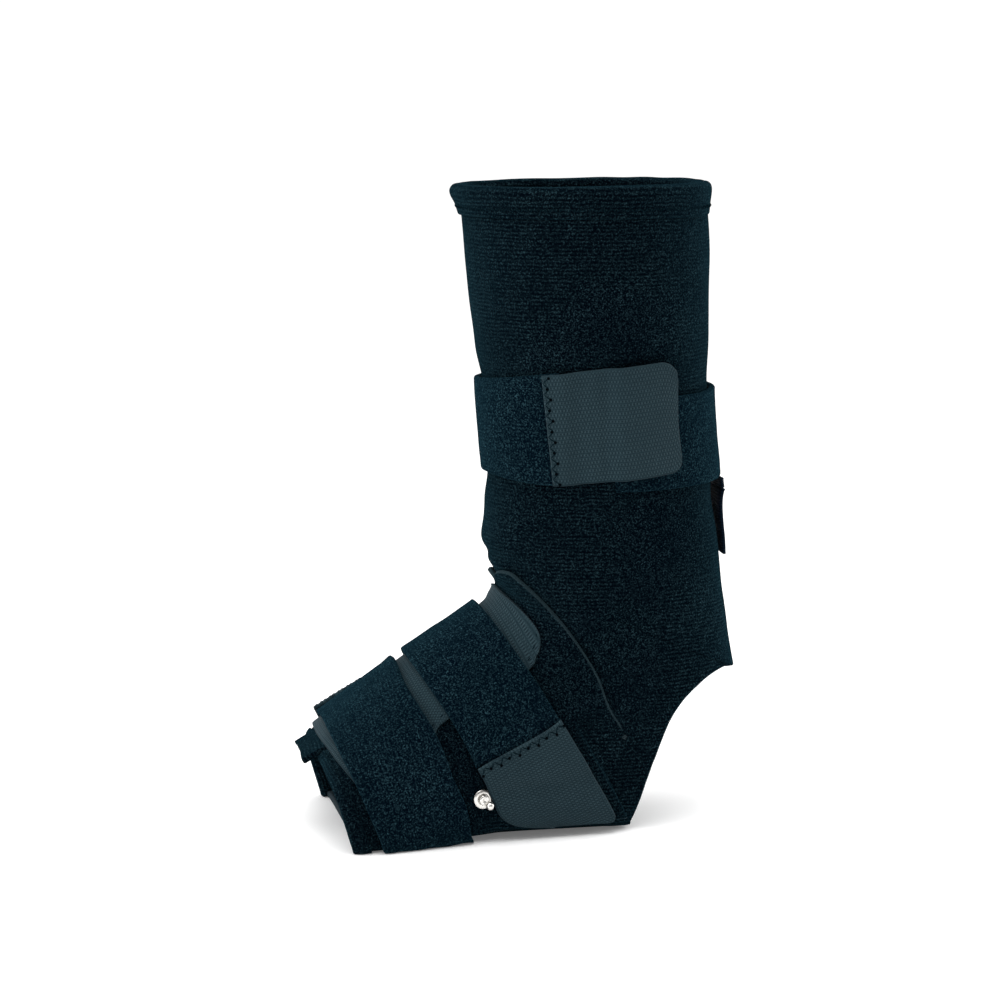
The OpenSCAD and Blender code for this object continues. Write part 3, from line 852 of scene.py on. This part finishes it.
class Strap:
    """A strap: its edges, how high it lies, and the hinges at which its lengths meet.

    low, high and under are functions of the turn, turns are the hinges' turns from the root on,
    and sense is the way round in which the strap runs.
    """

    def __init__(self, kind, root, low, high, under, turns, sense):
        self.kind, self.low, self.high, self.under = kind, low, high, under
        self.turns, self.sense = turns, sense
        between = [f"{kind}_{letter}" for letter in "abcd"[:len(turns) - 1]]
        self.bodies = [root, *between, f"{kind}_end"]

    def bend(self, k, before=4.0, after=4.0):
        """The bend across hinge k, from before to after millimetres past it."""
        v = np.array([self.turns[k] - self.sense, self.turns[k] + self.sense], float)
        middle = (self.low(v) + self.high(v)) / 2
        a, b = lifted(middle, v, self.under(v) + STRAP_T)
        way = unit(b - a)
        pivot = np.array(JOINTS[f"{self.kind}_peel_{k + 1}"]["pos_m"]) / MM
        return (self.bodies[k], self.bodies[k + 1], tuple((pivot - way * before) * MM),
                tuple((pivot + way * after) * MM))

    def grid(self, v0, v1):
        """Ring numbers and turns of a stretch from turn v0 to v1."""
        edge = skin(np.full(60, self.low(v0)), np.linspace(v0, v1, 60))
        length = np.linalg.norm(np.diff(edge, axis=0), axis=1).sum()
        v = np.linspace(v0, v1, max(6, int(length / STRAP_PITCH)))
        v = np.broadcast_to(v, (STRAP_COLUMNS, len(v)))
        s = np.linspace(0, 1, STRAP_COLUMNS)[:, None]
        return self.low(v) + (self.high(v) - self.low(v)) * s, v

    def stretch(self, suffix, v0, v1, move, node, seed, butts):
        """One length: flat and slightly full, with small waves along its edges."""
        u, v = self.grid(v0, v1)
        s = (u - self.low(v)) / (self.high(v) - self.low(v))
        p, n = skin(u, v), outward(u, v)
        wave = 0.3 * ripple(p, 42, seed) + 0.22 * ripple(p, 17, seed + 1) * np.abs(2 * s - 1) ** 2
        centre = p + n * (self.under(v) + STRAP_T / 2 + wave + 0.1)[..., None]
        centre[..., 2] = np.maximum(centre[..., 2], 0.3 + STRAP_T / 2 * np.abs(n[..., 2]))
        obj = cloth(f"{self.kind}_strap_{suffix}", centre, n, STRAP_T, [NAVY_STRAP, LINER, FOAM],
                    inner_paint=1, butts=butts)
        fit(obj, move, "laminate", node)

    def lay(self, suffixes, stops, seed):
        """All lengths from the root on. They are cut square where they meet."""
        last = len(suffixes) - 1
        for k, suffix in enumerate(suffixes):
            move = self.bend(k) if k < last else self.bodies[k]
            self.stretch(suffix, stops[k], stops[k + 1], move,
                         f"{self.kind}_strap_{k or 'root'}", seed, (k > 0, k < last))


TAB_COLUMNS, TAB_ROWS = 25, 46
LEAST_TAB = 30.0


def tab_grid(low, high, start, end, width, radius_low, radius_high):
    """A tab's grid: start and end turns may slope from edge to edge, and its end is rounded.

    width is the strap's width in millimetres, and so are the corner radii.
    """
    s = np.linspace(0, 1, TAB_COLUMNS)[:, None]
    t = np.linspace(0, 1, TAB_ROWS)
    t = t + 0.16 * np.sin(math.pi * t) * t
    t = t / t[-1]
    v0 = start[0] + (start[1] - start[0]) * s
    v1 = end[0] + (end[1] - end[0]) * s
    v = v0 + (v1 - v0) * t
    length = np.linalg.norm(skin(low(v0[0]), v0[0]) - skin(low(v1[0]), v1[0]))
    left = (1 - t) * max(float(length), LEAST_TAB)

    def trim(radius):
        inside = np.clip((radius - left) / radius, 0, 1)
        return radius * (1 - np.sqrt(1 - inside ** 2)) / width

    a, b = trim(radius_low), trim(radius_high)
    share = a + (1 - a - b) * s
    return low(v) + (high(v) - low(v)) * share, v, share


def past_side(v):
    """Turns just past the side, slowed where the form's flat lower half makes them run fast."""
    near = (v > 90) & (v < 98)
    return np.where(near, 90 + np.degrees((0.03 * np.clip(v - 90, 0, 8)) ** 2.3), v)


def make_tab(strap, start, end, width, radii, lie, seed):
    """A hook tab sewn over the strap's end: ribbed woven back, zigzag seam, needle holes."""
    node, move = strap.kind + "_tab", strap.bend(len(strap.turns) - 1, -1, 6)
    u, v, share = tab_grid(strap.low, strap.high, start, end, width, *radii)
    p, n = skin(u, v), outward(u, v)
    t = np.linspace(0, 1, u.shape[1])
    corner = ease(t, 0.8, 1) * (np.abs(2 * share - 1) ** 2)
    d = lie(v, share) + TAB_T / 2 + 0.22 * ripple(p, 40, seed) + 0.55 * corner
    centre = p + n * d[..., None]
    centre[..., 2] = np.maximum(centre[..., 2], 1.2)
    obj = cloth(node + "_tape", centre, n, TAB_T, [SLATE])
    fit(obj, move, "hook_tape", node)
    rows = np.linspace(0.02, 0.98, 160)
    v_seam = start[0] + (start[1] - start[0]) * rows
    u_seam = strap.low(v_seam) + (strap.high(v_seam) - strap.low(v_seam)) * rows
    per_mm = 1.35 * strap.sense
    top = lie(v_seam, rows) + TAB_T + 0.08 + 0.22 * ripple(skin(u_seam, v_seam), 40, seed)
    marks, normals = seam_marks(u_seam, past_side(v_seam + per_mm * 1.6), top, 2.1, 1.25)
    sew(node + "_zigzag", marks, normals, move, THREAD, 0.2, 0.16)
    # The needle holes are near-black dimples: painted shade in the holes.
    holes, normals = seam_marks(u_seam, past_side(v_seam + per_mm * 2.4), top, 4.0, 0.5)
    settle(needle_holes(node + "_holes", holes, normals), move)


NEEDLE_HOLE = 0.55
HOLE_SIDES = 8


def needle_holes(name, places, normals):
    """Small dimples where the needle went in, painted near-black: painted shade in the holes."""
    points, faces = [], []
    for p, n in zip(places, normals):
        side = unit(np.cross(n, [0.3, 0.2, 1.0]))
        base = len(points)
        for height, share in ((0.1, 1.15), (0.13, 0.7), (0.02, 0.2)):
            points += circle(p + n * height, NEEDLE_HOLE * share, side, np.cross(n, side),
                             HOLE_SIDES)
        faces += stack_faces(base, HOLE_SIDES, 3, (2,))
    return mesh_from(name, points, faces, [HOLE_SHADE])


def make_forefoot_strap():
    low = through([[-130, 0.95], [-60, 1.0], [-14, 1.07], [20, 1.05], [58, 0.97], [85, 0.94],
                   [100, 0.93], [130, 0.93]])
    high = through([[-130, 2.0], [-60, 2.35], [-17, 2.74], [6, 2.78], [35, 2.49], [68, 2.19],
                    [111, 1.9], [130, 1.88]])
    strap = Strap("forefoot", "foot", low, high,
                  lambda v: OVER_PANEL - 1.3 * ease(np.abs(v), 60, 84), [78, 22, -40], -1)
    strap.lay(("root", "top", "end"), (129, 50, -9, -42), 61)

    def lie(v, share):
        return strap.under(v) + (STRAP_T + 0.1) * ease(np.abs(v), 52, 42) + 0.2
    make_tab(strap, (-38.5, -38.5), (-112, -112), 42, (8, 8), lie, 65)


def make_midfoot_strap():
    low = through([[-130, 3.02], [-60, 3.02], [0, 3.02], [40, 3.02], [66, 3.02], [82, 3.0],
                   [92, 2.96], [101, 2.92], [112, 2.9], [130, 2.9]])
    strap = Strap("midfoot", "foot", low, lambda v: np.full(np.shape(v), 4.05),
                  lambda v: OVER_PANEL - 1.4 * ease(np.abs(v), 52, 78), [-72, -14, 85], 1)
    strap.lay(("root", "top", "end"), (-129, -43, 35, 90), 71)

    def lie(v, share):
        return strap.under(v) + (STRAP_T + 0.15) * ease(v, 96, 90.4) + 0.25
    make_tab(strap, (90.0, 81.0), (124, 126), 37, (17, 5), lie, 75)


def make_calf_strap():
    low = through([[88, 10.15], [130, 10.17], [180, 10.18], [250, 10.25], [360, 10.35],
                   [420, 10.27], [484, 10.4], [500, 10.41]])
    high = through([[88, 11.33], [130, 11.35], [180, 11.37], [250, 11.45], [360, 11.52],
                    [420, 11.66], [484, 11.84], [500, 11.86]])

    def under(v):
        over_anchor = 0.5 * np.exp(-((np.asarray(v, float) - 180) / 16) ** 2)
        return 0.4 - squeeze(v) + over_anchor - 2.4 * ease(v, 104, 88)
    strap = Strap("calf", "shank", low, high, under, [190, 245, 302, 360, 420], 1)
    strap.lay(("root", "back", "side", "front", "end"), (88, 217, 273, 331, 390, 423), 81)

    def lie(v, share):
        over_end = (STRAP_T + 0.1) * ease(v, 434, 424)
        over_root = (STRAP_T + 0.3) * ease(v, 444, 452)
        return 0.45 - squeeze(v) + over_end + over_root + 0.6 * np.exp(-((v - 438) / 7) ** 2)
    make_tab(strap, (418.5, 414.5), (479.7, 478.2), 46, (5.5, 8), lie, 85)


# ---------------------------------------------------------------- back, inside and metal
PULL_TAB = [[101.0, 137.2], [100.4, 134.8], [100.2, 130], [100.8, 123], [101.7, 116],
            [102.2, 109.5]]
PULL_ANCHOR = [[100.1, 141.8], [100.3, 139.5], [100.6, 137.4]]


def make_pull_tab():
    """A webbing tab hangs from the back of the calf strap's root, below a sewn patch."""
    y = np.linspace(-12, 12, 18)
    for node, points, rows, body, hang in (("pull_tab", PULL_TAB, 30, "pull", 1),
                                           ("pull_anchor", PULL_ANCHOR, 8, "shank", 0)):
        path = smooth_line(points, rows)
        fall = hang * np.linspace(0, 1, rows)[:, None]
        x = path[:, :1] - (y / 12) ** 2 * 0.5 * fall + 0.3 * np.sin(y / 5) * fall
        centre = np.stack(np.broadcast_arrays(x, y, path[:, 1:]), -1)
        piece = cloth(node + "_webbing", centre, sheet_normals(centre, 0), 1.5, [WEBBING])
        fit(piece, body, "webbing", node)
    y = np.linspace(-11, 11, 13)
    for k, z in enumerate((138.2, 140.9)):
        x = np.interp(z, [137.4, 141.8], [100.6, 100.1]) + 0.78
        marks = np.stack(np.broadcast_arrays(x, y, z), -1)
        sew(f"pull_anchor_stitch_{k}", marks, np.tile([1.0, 0, 0], (13, 1)), "shank", THREAD,
            0.2, 0.2, every=2)


def make_pocket(name, middle):
    """A stay pocket inside the shank: flat at its sewn edges, and full over the stay."""
    v = np.linspace(middle - 14, middle + 14, 26)
    u = np.linspace(9.2, 11.92, 60)[:, None] + 0 * v
    vv = np.broadcast_to(v, u.shape)
    full = ease(np.abs(vv - middle), 13.3, 9.5) * ease(u, 9.22, 9.4)
    p, n = skin(u, vv), outward(u, vv)
    centre = p + n * (-SHELL_T - 0.95 - 2.1 * full)[..., None]
    pocket = cloth(name + "_cloth", centre, n, 0.8, [LINER, FOAM], rim_paint=1)
    fit(pocket, "shank", "binding", name)


# Turn about each snap part's own axis: radius and height, in millimetres, from the cloth outward.
WASHER = [[2.1, 0.1], [2.15, 0.75], [2.5, 0.95], [3.3, 0.85], [3.9, 0.55], [4.0, 0.25], [3.9, 0.0]]
STUD = [[0.0, 2.0], [0.9, 2.25], [1.5, 2.3], [1.95, 2.1], [2.05, 1.75], [1.8, 1.4],
        [1.55, 1.0], [1.6, 0.4], [1.9, 0.1]]
BALL_RADIUS = 1.7


TURN_STEPS = 40


def turned(name, profile, u, v, d):
    """A turned metal part standing on the cloth."""
    origin, n = lifted(u, v, d), outward(u, v)
    side = unit(np.cross(n, [0.2, 0.1, 1.0]))
    line = smooth_line(profile, 4 * len(profile))
    points = []
    for radius, height in line:
        points += circle(origin + n * height, max(radius, 0.01), side, np.cross(n, side),
                         TURN_STEPS)
    faces = stack_faces(0, TURN_STEPS, len(line), (0, len(line) - 1))
    return mesh_from(name, points, faces, [NICKEL])


SNAP_U, SNAP_V = 2.74, 97.5


def make_snap():
    turn = np.linspace(math.pi, 0, 12)
    ball = np.stack([BALL_RADIUS * np.sin(turn), BALL_RADIUS * (1 - np.cos(turn))], 1)
    for node, profile, u, v, d in (("snap_washer", WASHER, 0, 0, 0),
                                   ("snap_stud", STUD, 0, 0, 0.3),
                                   ("snap_ball", ball, 0.07, 2.8, 1.9)):
        part = turned(node + "_metal", profile, SNAP_U + u, SNAP_V + v, FLAP_D + d)
        fit(part, OVER_ANKLE, "nickel", node)


# ---------------------------------------------------------------- camera, light and floor
TARGET = Vector((0.009, 0.0, 0.1335))
AZIMUTH, ELEVATION, DISTANCE = math.radians(-12), math.radians(9), 1.1


def make_camera():
    camera = bpy.data.cameras.new("camera")
    camera.sensor_width = 36
    camera.lens = 96.585
    camera.clip_end = 30
    obj = show("camera", camera)
    level = math.cos(ELEVATION)
    away = Vector((math.sin(AZIMUTH) * level, -math.cos(AZIMUTH) * level, math.sin(ELEVATION)))
    obj.location = TARGET + DISTANCE * away
    obj.rotation_euler = (-away).to_track_quat("-Z", "Y").to_euler()
    bpy.context.scene.camera = obj


def area_light(name, place, size, power):
    """A soft light aimed at the object."""
    light = bpy.data.lights.new(name, "AREA")
    light.shape = "RECTANGLE"
    light.size, light.size_y = size
    light.energy = power
    obj = show(name, light)
    obj.location = place
    obj.rotation_euler = (TARGET - Vector(place)).to_track_quat("-Z", "Y").to_euler()


def make_light():
    """A white studio: bright behind and at the sides, dimmer on the camera's side."""
    world = bpy.data.worlds.new("studio")
    world.use_nodes = True
    tree = world.node_tree
    shown = tree.nodes["Background"]
    shown.inputs["Color"].default_value = (1, 1, 1, 1)
    shown.inputs["Strength"].default_value = 1.05
    lit = tree.nodes.new("ShaderNodeBackground")
    place = tree.nodes.new("ShaderNodeTexCoord")
    split = tree.nodes.new("ShaderNodeSeparateXYZ")
    tree.links.new(place.outputs["Generated"], split.inputs["Vector"])
    depth = tree.nodes.new("ShaderNodeMapRange")
    tree.links.new(split.outputs["Y"], depth.inputs["Value"])
    for key, value in (("From Min", -0.9), ("From Max", 0.35), ("To Min", 0.2), ("To Max", 1.7)):
        depth.inputs[key].default_value = value
    tree.links.new(depth.outputs["Result"], lit.inputs["Strength"])
    path = tree.nodes.new("ShaderNodeLightPath")
    both = tree.nodes.new("ShaderNodeMixShader")
    tree.links.new(path.outputs["Is Camera Ray"], both.inputs[0])
    tree.links.new(lit.outputs["Background"], both.inputs[1])
    tree.links.new(shown.outputs["Background"], both.inputs[2])
    tree.links.new(both.outputs["Shader"], tree.nodes["World Output"].inputs["Surface"])
    bpy.context.scene.world = world
    area_light("top_light", (-0.3, -0.5, 1.5), (1.2, 1.0), 14)
    area_light("left_light", (-1.5, -0.3, 0.5), (1.0, 1.4), 12)
    area_light("right_light", (1.5, 0.1, 0.5), (1.0, 1.4), 14)
    bpy.context.scene.view_settings.view_transform = "Standard"


def make_floor():
    """A white floor that keeps only a soft contact shadow."""
    mesh = bpy.data.meshes.new("floor")
    mesh.from_pydata([(-6, -6, 0), (6, -6, 0), (6, 6, 0), (-6, 6, 0)], [], [(0, 1, 2, 3)])
    material = bpy.data.materials.new("floor_white")
    material.use_nodes = True
    shader = material.node_tree.nodes["Principled BSDF"]
    shader.inputs["Base Color"].default_value = (0.95, 0.95, 0.95, 1)
    shader.inputs["Roughness"].default_value = 0.9
    shader.inputs["Emission Color"].default_value = (1, 1, 1, 1)
    shader.inputs["Emission Strength"].default_value = 0.12
    mesh.materials.append(material)
    show("floor", mesh)


make_sleeve()
make_sole()
make_hem()
make_flap("medial_flap", 1, INNER_FLAP, 0.5)
make_flap("lateral_flap", -1, OUTER_FLAP, 0.4)
make_tack("flap_bar_tack", TACK_U, TACK_V, 20)
make_hook_panel()
make_toe_end()
make_forefoot_strap()
make_midfoot_strap()
make_calf_strap()
make_pull_tab()
make_pocket("medial_pocket", 90)
make_pocket("lateral_pocket", 270)
for stay in ("medial_stay", "lateral_stay"):
    frame["nodes"][stay].data.materials.clear()
    frame["nodes"][stay].data.materials.append(ALLOY)
make_snap()
make_floor()
make_light()
make_camera()
